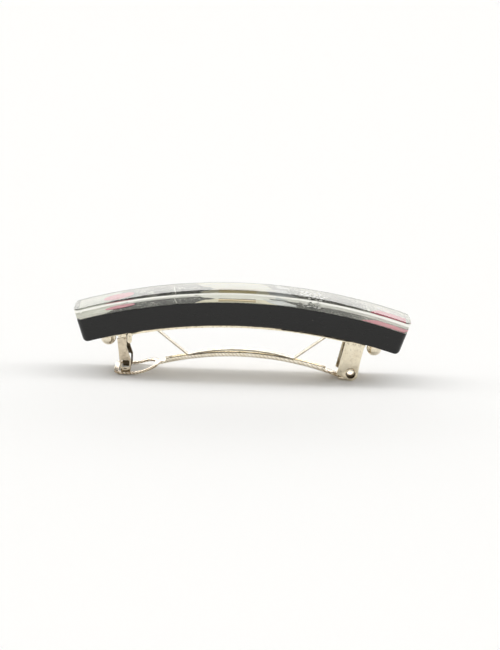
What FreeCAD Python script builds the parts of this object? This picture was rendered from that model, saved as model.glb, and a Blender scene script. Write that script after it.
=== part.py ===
"""Hair barrette: an arched laminated bar with a spring-steel clip under it.

Frame: millimetres, +X along the bar towards the hinge, +Y towards the far side,
+Z up through the bar. The origin is on the bench under the middle of the bar.
Depths such as DEPTH below are measured down from the bar's underside.
"""
import FreeCAD, Part
import math
import os

Vector = FreeCAD.Vector
Y_AXIS = Vector(0, 1, 0)

# Bar: three arched layers round one centre of curvature
CROWN = 13.5             # height of the bar's underside at its middle
BAR_RADIUS = 125.0       # curvature of the underside
BAR_WIDTH = 10.0
BODY_THICK = 5.47
SHEET_THICK = 0.12       # patterned sheet under the clear layer
FOIL_THICK = 0.08        # coloured foils on the sheet
CLEAR_THICK = 2.5        # clear layer and sheet together at the long edges
CLEAR_CROWN = 0.4        # extra thickness of the clear layer along its middle
HALF_LENGTH = 39.8       # half of the bar's length at its top corners
END_LEAN = 17.8          # degrees by which the ends lean out
CORNER_ROUND = 1.6
BOTTOM_ROUND = 1.0
TOP_ROUND = 0.18

# Inlay, in plan: x and y of corners or middles, half sizes and turns in degrees
PALE_OUTLINE = [(-42, -6), (-34.4, -6), (-28.4, 6), (-42, 6)]
PINK_LEFT = (-29.1, 0.8, 3.5, 2.0, 0)
PINK_RIGHT = (33.6, -2.8, 5.0, 2.0, 0)
SILVER = (8.2, -0.6, 5.0, 2.6, -35)
CREAM = (-2.0, -0.8, 9.4, 4.0, 0)
PLAQUE = (-5.8, 3.0, -3.8, -0.1)         # left, right, near and far sides
CHIP_COUNT = 26
CHIP_FIELD = (16.2, -0.2, 3.1, 3.9)      # middle and half sizes of the field of chips
CHIP_SIZE = (0.3, 0.29)
GOLDEN_TURN = math.pi * (3 - math.sqrt(5))

# Clip base: a shallow channel riveted under the bar
PLATE_THICK = 0.45
PLATE_HALF_WIDTH = 3.35
FLANGE_DEPTH = 1.0
BEND_ROUND = 0.8         # outer radius of the bends into the flanges and ears
TONGUE_WIDTH = 5.0
TONGUE_REACH = 34.3      # the rounded plate ends, past the rivets
RIVET_X = 32.2
SLOT_X = 21.6            # slots that hold the feet of the tension spring
SLOT_LENGTH = 1.1
SLOT_WIDTH = 2.3

# Hinge
PIN_X = 26.39
PIN_DEPTH = 11.3
PIN_RADIUS = 1.15
PIN_BORE = 0.95
PIN_HEAD_RADIUS = 1.32
PIN_HEAD_THICK = 0.16
PIN_FLARE = 1.12         # the bore opens out to this at both ends
PIN_FLARE_DEPTH = 0.3
EAR_HOLE_CLEARANCE = 0.02
KNUCKLE_CLEARANCE = 0.05
EAR_LOBE = 1.68          # radius of the ear round the pin
EAR_INNER = 3.25         # from the pin to the ear's straight inner edge
EAR_OUTER = 1.35         # from the pin to the ear's outer edge at the top
EAR_CORNER_DROP = 0.95   # how far the square corner sits below the pin
EAR_TOP = 9.0            # from the pin up into the bend that joins the ear to the channel
EAR_WAIST = 4.0          # height above the pin at which the outer edge starts to narrow
EAR_CHAMFER = 0.2
EAR_SHOULDER = 0.7       # share of the lobe's radius, so this corner stays inside the lobe

# Closing arm
ARM_THICK = 0.45
ARM_DEPTH = 8.5          # middle of the arm below the bar's underside
ARM_RADIUS = 70.0
ARM_HALF_WIDTH = 1.3
LIP_RISE = 0.35          # the rolled edges stand this far above the strip
LIP_WIDTH = 0.3
RING_DEPTH = 13.0
RING_BLEND = 9.0         # radius that levels the arm out into its ring
HINGE_BLEND = 8.0        # radius that levels the arm out into its knuckle
RING_LEFT = -30.1
RING_RIGHT = -19.5
RING_HALF_WIDTH = 4.75
RING_BAR = 1.0
RING_UPTURN = 14.0       # degrees by which the ring's end turns up
RING_UPTURN_START = -28.9
RING_UPTURN_RADIUS = 4.0
KNUCKLE_HALF_WIDTH = 2.8
KNUCKLE_START = 23.4
KNUCKLE_TURN = 290.0     # degrees that the knuckle wraps round the pin
RING_CORNERS = (1.8, 3.9)               # outer corner radii at the catch end and at the strip
RING_INNER_CORNERS = (0.8, 2.9)
LIP_START = RING_RIGHT + 1.5
LIP_END = KNUCKLE_START - 3.0
LIP_BITE = 0.02          # overlap that joins the lips to the strip

# Tension spring between the plate and the arm
SPRING_THICK = 0.32
SPRING_HALF_WIDTH = 0.95
SPRING_DEPTH = 7.2
SPRING_RADIUS = 46.0
KNEE_X = 12.7
FOOT_DEPTH = 0.2         # the spring's feet end this far below the underside

# Squeeze catch
BRACKET_THICK = 0.4
BRACKET_RIGHT = -27.6
LEG_LEFT = -29.5
LEG_NECK = -27.25        # right edge of the leg's upper part
LEG_RIGHT = -26.1
LEG_SHOULDER = 6.9       # depth at which the leg starts to widen
LEG_WIDEST = 10.1
LEG_HEEL = 12.2          # depth at which the foot starts to narrow
LEG_TOP = 1.4            # depth of the leg's flexing edge
LEG_FOOT = (-28.3, -26.4)               # left and right of the foot's lower edge
LEG_HEEL_LEFT = -28.6
FLEX_GAP = 0.08          # between the bracket and the leg's flexing edge
LUG_LEFT = -27.1         # the channel starts here too
LUG_RIGHT = -26.05
LUG_DEPTH = 5.9
WINDOW = (-28.4, -26.5, 12.0, 10.2)     # left, right, lower and upper depth
WINDOW_ROUND = 0.3
BARB = (-28.1, -26.5)                   # left and right of the barb that holds the ring
BARB_REACH = 0.7
BARB_TOP_DEPTH = 13.27
BARB_NOSE = (0.2, 0.08)                 # chamfer along and up at the barb's tip
DIMPLE_DEPTH = 12.62
DIMPLE_RADIUS = 0.9
DIMPLE_RISE = 0.25
DIMPLE_HALF_HEIGHT = 0.45

# Rivets through the bar
SHANK_RADIUS = 1.0
SHANK_IN_BAR = 4.0
SHANK_CLEARANCE = 0.03
DOME_RADIUS = 1.8
DOME_DEPTH = 1.42        # depth at which the dome's collar ends and its half ball starts
SEAT_GAP = 0.02          # the flat rivet heads clear the arched plates

ARC_CENTRE = Vector(0, 0, CROWN - BAR_RADIUS)
SHEET_RADIUS = BAR_RADIUS + BODY_THICK
FOIL_RADIUS = SHEET_RADIUS + SHEET_THICK
MARGIN = 2.0             # cutting tools reach this far past the solid they cut
SWEEP = 20.0             # degrees to each side that cover the whole bar
END_ZONE = 3.0           # the bar's end edges lie within this of HALF_LENGTH
PRISM_LOW = -10.0        # upright cutting prisms run from here
PRISM_TALL = 40.0


def height(depth):
    """Height above the bench of a depth below the bar's underside at its middle."""
    return CROWN - depth


def arch_angle(x, radius=BAR_RADIUS):
    """Angle in degrees from the middle of the bar to the point above x."""
    return math.degrees(math.asin(x / radius))


def underside(x):
    """Height of the bar's underside at x."""
    return ARC_CENTRE.z + math.sqrt(BAR_RADIUS ** 2 - x ** 2)


def box(x0, x1, y0, y1, z0, z1):
    return Part.makeBox(x1 - x0, y1 - y0, z1 - z0, Vector(x0, y0, z0))


def cylinder_y(radius, half_width, x, z):
    """Solid round bar along Y."""
    return Part.makeCylinder(radius, 2 * half_width, Vector(x, -half_width, z), Y_AXIS)


def arc_strip(centre, radius, thick, y0, y1, start, end, below=False):
    """Curved strip round a Y axis; angles run from straight up (or straight down) towards +X."""
    low = radius - thick / 2
    high = radius + thick / 2
    side = -1 if below else 1
    corners = [Vector(centre.x, y, centre.z + side * r)
               for y, r in ((y0, low), (y1, low), (y1, high), (y0, high), (y0, low))]
    face = Part.Face(Part.makePolygon(corners))
    face.rotate(centre, Y_AXIS, side * start)
    return face.revolve(centre, Y_AXIS, side * (end - start))


def side_plate(points, y0, y1):
    """Flat plate whose outline is a list of (x, z) corners."""
    corners = [Vector(x, y0, z) for x, z in points]
    wire = Part.makePolygon(corners + corners[:1])
    return Part.Face(wire).extrude(Vector(0, y1 - y0, 0))


def fuse_all(shapes):
    """Join shapes that touch into one solid."""
    return shapes[0].multiFuse(shapes[1:]).removeSplitter().Solids[0]


def mirrored(shape):
    """The same piece on the far side of the clip."""
    return shape.mirror(Vector(0, 0, 0), Y_AXIS)


def fillet_where(shape, radius, wanted):
    """Round the edges whose middle point passes the test."""
    edges = [edge for edge in shape.Edges if wanted(edge.CenterOfMass)]
    return shape.makeFillet(radius, edges)


# ---- bar ----------------------------------------------------------------------------

def bar_blank():
    """Block with the bar's width, leaning ends and rounded corners, which trims every layer."""
    lean = math.tan(math.radians(END_LEAN))
    top_radius = SHEET_RADIUS + CLEAR_THICK
    top = ARC_CENTRE.z + math.sqrt(top_radius ** 2 - HALF_LENGTH ** 2)
    below, above = 20.0, 10.0
    low, high = top - below, top + above
    x_low = HALF_LENGTH - below * lean
    x_high = HALF_LENGTH + above * lean
    block = side_plate([(-x_low, low), (x_low, low), (x_high, high), (-x_high, high)],
                       -BAR_WIDTH / 2, BAR_WIDTH / 2)
    middle = (low + high) / 2
    return fillet_where(block, CORNER_ROUND,
                        lambda p: abs(p.z - middle) < 1 and abs(p.x) > HALF_LENGTH / 2)


def bar_layer(radius, thick):
    """One arched layer as wide and as long as the bar."""
    reach = BAR_WIDTH / 2 + MARGIN
    strip = arc_strip(ARC_CENTRE, radius + thick / 2, thick, -reach, reach, -SWEEP, SWEEP)
    return strip.common(bar_blank()).Solids[0]


def bar_body():
    body = bar_layer(BAR_RADIUS, BODY_THICK)
    body = fillet_where(body, BOTTOM_ROUND,
                        lambda p: abs(p.x) > HALF_LENGTH - END_ZONE and p.z < underside(p.x) + 0.1)
    for side in (-1, 1):
        body = body.cut(at_arch(side * RIVET_X, Part.makeCylinder(
            SHANK_RADIUS + SHANK_CLEARANCE, SHANK_IN_BAR + MARGIN, Vector(0, 0, -MARGIN))))
    return body


def clear_cap(foils):
    """Clear layer with a crowned top, recessed underneath for the foils."""
    half = BAR_WIDTH / 2
    inner = FOIL_RADIUS
    edge = inner + CLEAR_THICK - SHEET_THICK
    rise = CLEAR_CROWN * (1 + MARGIN / half) ** 2
    reach = half + MARGIN
    middle = edge + CLEAR_CROWN
    z = ARC_CENTRE.z
    sides = Part.makePolygon([Vector(0, -reach, z + middle - rise), Vector(0, -reach, z + inner),
                              Vector(0, reach, z + inner), Vector(0, reach, z + middle - rise)])
    top = Part.Arc(Vector(0, reach, z + middle - rise), Vector(0, 0, z + middle),
                   Vector(0, -reach, z + middle - rise)).toShape()
    face = Part.Face(Part.Wire(sides.Edges + [top]))
    face.rotate(ARC_CENTRE, Y_AXIS, -SWEEP)
    cap = face.revolve(ARC_CENTRE, Y_AXIS, 2 * SWEEP).common(bar_blank()).Solids[0]
    cap = fillet_where(cap, TOP_ROUND, is_top_rim)
    for foil in foils:
        cap = cap.cut(foil)
    return cap


def is_top_rim(point):
    """True for the middle points of the edges round the clear layer's top face."""
    radius = math.hypot(point.x, point.z - ARC_CENTRE.z)
    return radius > SHEET_RADIUS + CLEAR_THICK - 0.1


# ---- inlay --------------------------------------------------------------------------

def foil_layer(plan, level=0):
    """Foil cut to a plan outline, on the arched sheet; level counts foils stacked below it."""
    radius = FOIL_RADIUS + level * FOIL_THICK
    return bar_layer(radius, FOIL_THICK).common(plan)


def plan_ellipse(x, y, half_length, half_width, turn=0.0):
    """Upright prism over an ellipse."""
    ellipse = Part.Ellipse(Vector(0, 0, 0), half_length, half_width).toShape()
    prism = Part.Face(Part.Wire(ellipse)).extrude(Vector(0, 0, PRISM_TALL))
    prism.rotate(Vector(0, 0, 0), Vector(0, 0, 1), turn)
    prism.translate(Vector(x, y, PRISM_LOW))
    return prism


def plan_polygon(points):
    """Upright prism over a polygon."""
    corners = [Vector(x, y, PRISM_LOW) for x, y in points]
    return Part.Face(Part.makePolygon(corners + corners[:1])).extrude(Vector(0, 0, PRISM_TALL))


def inlay_pale_foil(pink):
    return foil_layer(plan_polygon(PALE_OUTLINE)).cut(pink)


def inlay_pink_foil_left():
    return foil_layer(plan_ellipse(*PINK_LEFT))


def inlay_pink_foil_right():
    return foil_layer(plan_ellipse(*PINK_RIGHT))


def inlay_silver_foil():
    return foil_layer(plan_ellipse(*SILVER))


def inlay_cream_foil(silver):
    return foil_layer(plan_ellipse(*CREAM)).cut(silver)


def inlay_gold_plaque():
    """Plain rectangle of gold foil on the cream foil."""
    left, right, near, far = PLAQUE
    outline = [(left, near), (right, near), (right, far), (left, far)]
    return foil_layer(plan_polygon(outline), level=1)


def inlay_glitter():
    """Loose round glitter chips, spread on a spiral."""
    x, y, half_length, half_width = CHIP_FIELD
    chips = []
    for index in range(CHIP_COUNT):
        spread = math.sqrt((index + 0.5) / CHIP_COUNT)
        turn = index * GOLDEN_TURN
        chip_x = x + half_length * spread * math.cos(turn)
        chip_y = y + half_width * spread * math.sin(turn)
        chips.append(foil_layer(plan_ellipse(chip_x, chip_y, *CHIP_SIZE)))
    return Part.makeCompound(chips)


# ---- clip base ----------------------------------------------------------------------

def at_arch(x, shape):
    """Move a piece built at the origin to the bar's underside at x, square to the arch."""
    turn = FreeCAD.Rotation(Y_AXIS, arch_angle(x))
    placed = shape.copy()
    placed.Placement = FreeCAD.Placement(Vector(x, 0, underside(x)), turn)
    return placed


def plate_arc(half_width, depth0, depth1, x0, x1):
    """Arched strip under the bar between two depths."""
    radius = BAR_RADIUS - (depth0 + depth1) / 2
    return arc_strip(ARC_CENTRE, radius, depth1 - depth0, -half_width, half_width,
                     arch_angle(x0), arch_angle(x1))


def bend(y, radius, inward):
    """Quarter bend from a flange's side up to the web, as an arc in the plane of the bar's middle."""
    side = math.copysign(1, y)
    middle_y = side * (PLATE_HALF_WIDTH - BEND_ROUND)
    middle_z = CROWN - BEND_ROUND
    ends = [(1, 0), (math.sqrt(0.5), math.sqrt(0.5)), (0, 1)]
    points = [Vector(0, middle_y + side * radius * a, middle_z + radius * b) for a, b in ends]
    if inward:
        points.reverse()
    return Part.Arc(*points).toShape()


def channel():
    """Arched channel: web, rounded bends and short side flanges."""
    outer = BEND_ROUND
    inner = BEND_ROUND - PLATE_THICK
    edges = [bend(-1, outer, False), bend(1, outer, True), bend(1, inner, False), bend(-1, inner, True)]
    foot = CROWN - FLANGE_DEPTH
    starts = [edge.firstVertex(True).Point for edge in edges]
    ends = [edge.lastVertex(True).Point for edge in edges]
    far_out, far_in = ends[1], starts[2]
    near_in, near_out = ends[3], starts[0]
    lines = [(ends[0], starts[1]), (far_out, Vector(0, far_out.y, foot)),
             (Vector(0, far_out.y, foot), Vector(0, far_in.y, foot)),
             (Vector(0, far_in.y, foot), far_in), (ends[2], starts[3]),
             (near_in, Vector(0, near_in.y, foot)),
             (Vector(0, near_in.y, foot), Vector(0, near_out.y, foot)),
             (Vector(0, near_out.y, foot), near_out)]
    edges += [Part.makeLine(a, b) for a, b in lines]
    face = Part.Face(Part.Wire(Part.__sortEdges__(edges)))
    start = arch_angle(LUG_LEFT)
    face.rotate(ARC_CENTRE, Y_AXIS, start)
    return face.revolve(ARC_CENTRE, Y_AXIS, arch_angle(PIN_X + EAR_INNER) - start)


def hinge_ear():
    """Near hinge ear: square inner corner, round lobe about the pin, leaning square to the arch."""
    lean = arch_angle(PIN_X)
    lobe = Part.makeCylinder(EAR_LOBE, PLATE_THICK, Vector(0, -PLATE_HALF_WIDTH, 0), Y_AXIS)
    shoulder = EAR_LOBE * EAR_SHOULDER
    outline = [(-EAR_INNER, EAR_TOP), (EAR_OUTER, EAR_TOP), (EAR_OUTER, EAR_WAIST), (EAR_LOBE, 0.0),
               (shoulder, -shoulder), (0, -EAR_LOBE), (EAR_CHAMFER - EAR_INNER, -EAR_CORNER_DROP),
               (-EAR_INNER, EAR_CHAMFER - EAR_CORNER_DROP)]
    ear = side_plate(outline, -PLATE_HALF_WIDTH, -PLATE_HALF_WIDTH + PLATE_THICK).fuse(lobe)
    ear = ear.cut(cylinder_y(PIN_RADIUS + EAR_HOLE_CLEARANCE, PLATE_HALF_WIDTH + MARGIN, 0, 0))
    ear.Placement = FreeCAD.Placement(Vector(PIN_X, 0, height(PIN_DEPTH)),
                                      FreeCAD.Rotation(Y_AXIS, lean))
    return ear.cut(above_bends())


def above_bends():
    """Everything above the lower ends of the bends, for trimming the ears and lugs."""
    reach = PLATE_HALF_WIDTH + MARGIN
    thick = 20.0
    radius = BAR_RADIUS - BEND_ROUND + thick / 2
    return arc_strip(ARC_CENTRE, radius, thick, -reach, reach, -SWEEP, SWEEP)


def catch_lug():
    """Near side lug that runs down beside the catch leg, with a rounded tip."""
    half = (LUG_RIGHT - LUG_LEFT) / 2
    tip = height(LUG_DEPTH) + half
    middle = LUG_LEFT + half
    y0 = -PLATE_HALF_WIDTH
    y1 = -PLATE_HALF_WIDTH + PLATE_THICK
    strip = box(LUG_LEFT, LUG_RIGHT, y0, y1, tip, CROWN)
    end = Part.makeCylinder(half, PLATE_THICK, Vector(middle, y0, tip), Y_AXIS)
    return strip.fuse(end).cut(above_bends())


def base_plate():
    tongue = plate_arc(TONGUE_WIDTH / 2, 0, PLATE_THICK, -TONGUE_REACH, TONGUE_REACH)
    ends = rounded_ends(TONGUE_WIDTH / 2)
    near = [hinge_ear(), catch_lug()]
    plate = fuse_all([channel(), tongue.common(ends)] + near + [mirrored(piece) for piece in near])
    for side in (-1, 1):
        slot = box(-SLOT_LENGTH / 2, SLOT_LENGTH / 2, -SLOT_WIDTH / 2, SLOT_WIDTH / 2, -MARGIN, MARGIN)
        plate = plate.cut(at_arch(side * SLOT_X, slot))
        hole = Part.makeCylinder(SHANK_RADIUS + SHANK_CLEARANCE, 2 * MARGIN, Vector(0, 0, -MARGIN))
        plate = plate.cut(at_arch(side * RIVET_X, hole))
    return plate


def rounded_ends(radius):
    """Upright prism with half-round ends that trims the plate's tongue."""
    reach = TONGUE_REACH - radius
    parts = [box(-reach, reach, -radius, radius, 0, CROWN)]
    for side in (-1, 1):
        parts.append(Part.makeCylinder(radius, CROWN, Vector(side * reach, 0, 0)))
    return fuse_all(parts)


def hinge_pin():
    """Tubular rivet through both ears, with thin rolled heads."""
    z = height(PIN_DEPTH)
    head = cylinder_y(PIN_HEAD_RADIUS, PLATE_HALF_WIDTH + PIN_HEAD_THICK, PIN_X, z)
    head = head.cut(cylinder_y(PIN_HEAD_RADIUS + MARGIN, PLATE_HALF_WIDTH, PIN_X, z))
    shank = cylinder_y(PIN_RADIUS, PLATE_HALF_WIDTH + PIN_HEAD_THICK, PIN_X, z)
    pin = shank.fuse(head).cut(cylinder_y(PIN_BORE, PLATE_HALF_WIDTH + MARGIN, PIN_X, z))
    face = PLATE_HALF_WIDTH + PIN_HEAD_THICK
    flare = Part.makeCone(PIN_FLARE, PIN_BORE, PIN_FLARE_DEPTH, Vector(PIN_X, -face, z), Y_AXIS)
    return pin.cut(flare).cut(mirrored(flare))


def dome_rivet(x, seat_depth):
    """Rivet driven up into the bar, with a tall domed head below the plate."""
    seat = seat_depth + SEAT_GAP
    shank = Part.makeCylinder(SHANK_RADIUS, SHANK_IN_BAR + seat, Vector(0, 0, -seat))
    collar = Part.makeCylinder(DOME_RADIUS, DOME_DEPTH - seat, Vector(0, 0, -DOME_DEPTH))
    ball = Part.makeSphere(DOME_RADIUS, Vector(0, 0, -DOME_DEPTH))
    reach = DOME_RADIUS + MARGIN
    lower_half = box(-reach, reach, -reach, reach, -DOME_DEPTH - reach, -DOME_DEPTH)
    return at_arch(x, fuse_all([shank, collar, ball.common(lower_half)]))


# ---- closing arm --------------------------------------------------------------------

def blend_angle(drop, blend_radius):
    """Angle along the arm's arc at which a reverse curve of this radius levels it out."""
    return math.degrees(math.acos(1 - drop / (ARM_RADIUS + blend_radius)))


def arm_profile(half_width):
    """The arm's whole side view, as a strip of one width."""
    knuckle_radius = PIN_RADIUS + KNUCKLE_CLEARANCE + ARM_THICK / 2
    ring_angle = blend_angle(RING_DEPTH - ARM_DEPTH, RING_BLEND)
    level = PIN_DEPTH + knuckle_radius
    hinge_angle = blend_angle(level - ARM_DEPTH, HINGE_BLEND)
    y = half_width
    centre = Vector(0, 0, height(ARM_DEPTH) - ARM_RADIUS)
    main = arc_strip(centre, ARM_RADIUS, ARM_THICK, -y, y, -ring_angle, hinge_angle)
    ring_x = -(ARM_RADIUS + RING_BLEND) * math.sin(math.radians(ring_angle))
    ring_centre = Vector(ring_x, 0, height(RING_DEPTH) + RING_BLEND)
    ring_curve = arc_strip(ring_centre, RING_BLEND, ARM_THICK, -y, y, 0, ring_angle, below=True)
    flat = box(RING_UPTURN_START, ring_x, -y, y,
               height(RING_DEPTH) - ARM_THICK / 2, height(RING_DEPTH) + ARM_THICK / 2)
    turn_centre = Vector(RING_UPTURN_START, 0, height(RING_DEPTH) + RING_UPTURN_RADIUS)
    upturn = arc_strip(turn_centre, RING_UPTURN_RADIUS, ARM_THICK, -y, y,
                       -2 * RING_UPTURN, 0, below=True)
    hinge_x = (ARM_RADIUS + HINGE_BLEND) * math.sin(math.radians(hinge_angle))
    hinge_centre = Vector(hinge_x, 0, height(level) + HINGE_BLEND)
    hinge_curve = arc_strip(hinge_centre, HINGE_BLEND, ARM_THICK, -y, y, -hinge_angle, 0, below=True)
    run_in = box(hinge_x, PIN_X, -y, y, height(level) - ARM_THICK / 2, height(level) + ARM_THICK / 2)
    return fuse_all([main, ring_curve, flat, upturn, hinge_curve, run_in])


def arm_plan():
    """Plan outline of the arm: D-shaped ring, narrow strip and wide hinge end."""
    tall = CROWN
    half = RING_HALF_WIDTH
    ring = round_corners(box(RING_LEFT, RING_RIGHT, -half, half, -MARGIN, tall), *RING_CORNERS)
    inner_half = half - RING_BAR
    hole = box(RING_LEFT + RING_BAR, RING_RIGHT - RING_BAR, -inner_half, inner_half,
               -2 * MARGIN, tall + MARGIN)
    ring = ring.cut(round_corners(hole, *RING_INNER_CORNERS))
    strip = box(RING_RIGHT - RING_BAR / 2, PIN_X, -ARM_HALF_WIDTH, ARM_HALF_WIDTH, -MARGIN, tall)
    wide = KNUCKLE_HALF_WIDTH
    hinge_end = box(KNUCKLE_START, PIN_X + MARGIN, -wide, wide, -MARGIN, tall)
    return fuse_all([ring, strip, hinge_end])


def round_corners(block, left_radius, right_radius):
    """Round a block's four upright edges, with one radius at each end."""
    middle = block.CenterOfMass.x
    half = (block.BoundBox.ZMax - block.BoundBox.ZMin) / 2
    centre_z = block.BoundBox.ZMin + half
    upright = [edge for edge in block.Edges if abs(edge.CenterOfMass.z - centre_z) < 0.1]
    left = [edge for edge in upright if edge.CenterOfMass.x < middle]
    block = block.makeFillet(left_radius, left)
    upright = [edge for edge in block.Edges
               if abs(edge.CenterOfMass.z - centre_z) < 0.1 and edge.CenterOfMass.x > middle + 1]
    right = [edge for edge in upright if abs(abs(edge.CenterOfMass.y) - block.BoundBox.YMax) < 0.01]
    return block.makeFillet(right_radius, right)


def arm_lips():
    """Rolled edges that turn up along both sides of the strip, beside the spring."""
    radius = ARM_RADIUS + (ARM_THICK + LIP_RISE) / 2 - LIP_BITE
    centre = Vector(0, 0, height(ARM_DEPTH) - ARM_RADIUS)
    near = arc_strip(centre, radius, LIP_RISE + 2 * LIP_BITE,
                     -ARM_HALF_WIDTH, -ARM_HALF_WIDTH + LIP_WIDTH,
                     arch_angle(LIP_START, ARM_RADIUS), arch_angle(LIP_END, ARM_RADIUS))
    return [near, mirrored(near)]


def arm():
    body = arm_profile(RING_HALF_WIDTH + MARGIN).common(arm_plan())
    knuckle_radius = PIN_RADIUS + KNUCKLE_CLEARANCE + ARM_THICK / 2
    wide = KNUCKLE_HALF_WIDTH
    knuckle = arc_strip(Vector(PIN_X, 0, height(PIN_DEPTH)), knuckle_radius, ARM_THICK,
                        -wide, wide, 180 - KNUCKLE_TURN, 180)
    return fuse_all([body, knuckle] + arm_lips())


# ---- tension spring -----------------------------------------------------------------

def tension_spring():
    """Flat spring: bowed middle, two straight struts and feet that enter the plate's slots."""
    centre = Vector(0, 0, height(SPRING_DEPTH) - SPRING_RADIUS)
    knee_angle = arch_angle(KNEE_X, SPRING_RADIUS)
    y = SPRING_HALF_WIDTH
    middle = arc_strip(centre, SPRING_RADIUS, SPRING_THICK, -y, y, -knee_angle, knee_angle)
    knee_z = centre.z + math.sqrt(SPRING_RADIUS ** 2 - KNEE_X ** 2)
    foot_z = underside(SLOT_X) - FOOT_DEPTH
    parts = [middle]
    for side in (-1, 1):
        parts.append(cylinder_y(SPRING_THICK / 2, y, side * KNEE_X, knee_z))
        parts.append(strut(side * KNEE_X, knee_z, side * SLOT_X, foot_z))
    return fuse_all(parts)


def strut(x0, z0, x1, z1):
    """Straight flat strip between two points of the side view."""
    length = math.hypot(x1 - x0, z1 - z0)
    turn = -math.degrees(math.atan2(z1 - z0, x1 - x0))
    y = SPRING_HALF_WIDTH
    bar = box(0, length, -y, y, -SPRING_THICK / 2, SPRING_THICK / 2)
    bar.Placement = FreeCAD.Placement(Vector(x0, 0, z0), FreeCAD.Rotation(Y_AXIS, turn))
    return bar


# ---- squeeze catch ------------------------------------------------------------------

def catch_bracket():
    """Plate under the base plate that carries the two legs, clamped by the catch-end rivet."""
    low = PLATE_THICK + BRACKET_THICK
    bridge = plate_arc(PLATE_HALF_WIDTH, PLATE_THICK, low, LEG_LEFT, BRACKET_RIGHT)
    tongue = plate_arc(TONGUE_WIDTH / 2, PLATE_THICK, low, -TONGUE_REACH, BRACKET_RIGHT)
    tongue = tongue.common(rounded_ends(TONGUE_WIDTH / 2))
    tip = LEG_TOP - FLEX_GAP
    shoulder = arc_strip(ARC_CENTRE, BAR_RADIUS - (low + tip) / 2, tip - low, -PLATE_HALF_WIDTH,
                         -PLATE_HALF_WIDTH + PLATE_THICK, arch_angle(LEG_LEFT), arch_angle(BRACKET_RIGHT))
    bracket = fuse_all([bridge, tongue, shoulder, mirrored(shoulder)])
    hole = Part.makeCylinder(SHANK_RADIUS + SHANK_CLEARANCE, 2 * MARGIN, Vector(0, 0, -MARGIN))
    return bracket.cut(at_arch(-RIVET_X, hole))


def catch_leg():
    """Near catch leg: windowed plate with a dimple and a barb that holds the ring up."""
    outer = -PLATE_HALF_WIDTH
    inner = outer + PLATE_THICK
    foot = height(CROWN)
    heel = height(LEG_HEEL)
    outline = [(LEG_LEFT, underside(LEG_LEFT) - LEG_TOP), (LEG_NECK, underside(LEG_NECK) - LEG_TOP),
               (LEG_NECK, height(LEG_SHOULDER)), (LEG_RIGHT, height(LEG_WIDEST)),
               (LEG_RIGHT, heel), (LEG_FOOT[1], foot), (LEG_FOOT[0], foot), (LEG_HEEL_LEFT, heel)]
    leg = side_plate(outline, outer, inner)
    left, right, low_depth, high_depth = WINDOW
    window = box(left, right, outer - MARGIN, inner + MARGIN, height(low_depth), height(high_depth))
    mid_y = (outer + inner) / 2
    leg = leg.cut(fillet_where(window, WINDOW_ROUND, lambda p: abs(p.y - mid_y) < 0.01))
    ball_y = outer + DIMPLE_RADIUS - DIMPLE_RISE
    ball = Part.makeSphere(DIMPLE_RADIUS, Vector((left + right) / 2, ball_y, height(DIMPLE_DEPTH)))
    root = outer + PLATE_THICK / 2
    bulge = ball.common(box(left, right, outer - MARGIN, root, height(DIMPLE_DEPTH + DIMPLE_HALF_HEIGHT),
                            height(DIMPLE_DEPTH - DIMPLE_HALF_HEIGHT)))
    top = height(BARB_TOP_DEPTH)
    tip = outer - BARB_REACH
    nose_y, nose_z = BARB_NOSE
    profile = [(inner, foot), (tip + nose_y, foot), (tip, foot + nose_z), (tip, top), (inner, top)]
    corners = [Vector(BARB[0], y, z) for y, z in profile]
    barb = Part.Face(Part.makePolygon(corners + corners[:1])).extrude(Vector(BARB[1] - BARB[0], 0, 0))
    return fuse_all([leg, bulge, barb])


def build():
    silver = inlay_silver_foil()
    pink = inlay_pink_foil_left()
    foils = {
        "inlay_pale_foil": inlay_pale_foil(pink),
        "inlay_pink_foil_left": pink,
        "inlay_pink_foil_right": inlay_pink_foil_right(),
        "inlay_silver_foil": silver,
        "inlay_cream_foil": inlay_cream_foil(silver),
        "inlay_gold_plaque": inlay_gold_plaque(),
        "inlay_glitter_chips": inlay_glitter(),
    }
    near_leg = catch_leg()
    parts = {
        "bar_body": bar_body(),
        "inlay_sheet": bar_layer(SHEET_RADIUS, SHEET_THICK),
        "clear_cap": clear_cap(foils.values()),
        "base_plate": base_plate(),
        "hinge_pin": hinge_pin(),
        "rivet_catch_end": dome_rivet(-RIVET_X, PLATE_THICK + BRACKET_THICK),
        "rivet_hinge_end": dome_rivet(RIVET_X, PLATE_THICK),
        "arm": arm(),
        "tension_spring": tension_spring(),
        "catch_bracket": catch_bracket(),
        "catch_leg_near": near_leg,
        "catch_leg_far": mirrored(near_leg),
    }
    parts.update(foils)
    return parts


os.makedirs("parts", exist_ok=True)
for node, shape in build().items():
    shape.exportStep(os.path.join("parts", node + ".step"))
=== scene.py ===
"""Looks of the hair barrette: laminated bar, coloured inlay, clear cap and plated clip."""
import math
import random

import bmesh
import bpy
from mathutils import Matrix, Vector, noise


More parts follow.
